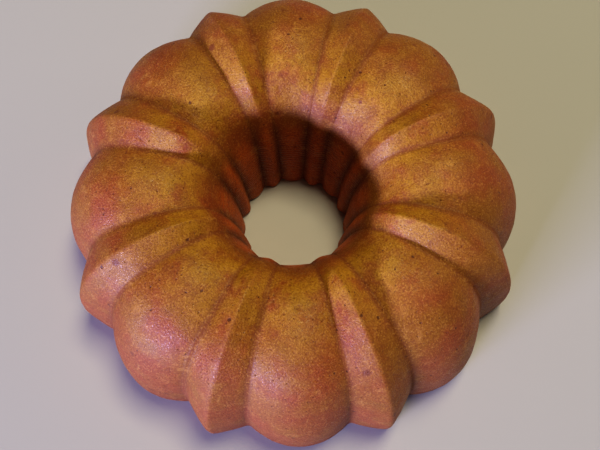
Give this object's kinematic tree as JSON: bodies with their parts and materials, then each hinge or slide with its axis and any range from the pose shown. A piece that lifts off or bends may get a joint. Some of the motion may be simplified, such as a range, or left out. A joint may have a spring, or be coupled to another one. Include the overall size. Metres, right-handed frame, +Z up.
{
  "type": "lemon bundt cake",
  "caption": "Whole unglazed lemon ring cake from a fluted pan: round lobes alternate with sharp ridges around a funnel-shaped centre hole, on a flat base.",
  "frame": {"origin": "middle of the flat base, on the axis of the centre hole", "axes": "+Z up along the axis of the ring; a round lobe faces -Y, +Y, -X and +X"},
  "size_m": [0.2508, 0.2508, 0.093],
  "materials": {
    "crust": "golden-brown baked crust with a fine sponge grain, yellower in the creases and redder in the hole, softly satin"
  },
  "bodies": {
    "root": {"cake": "crust"}
  },
  "joints": []
}
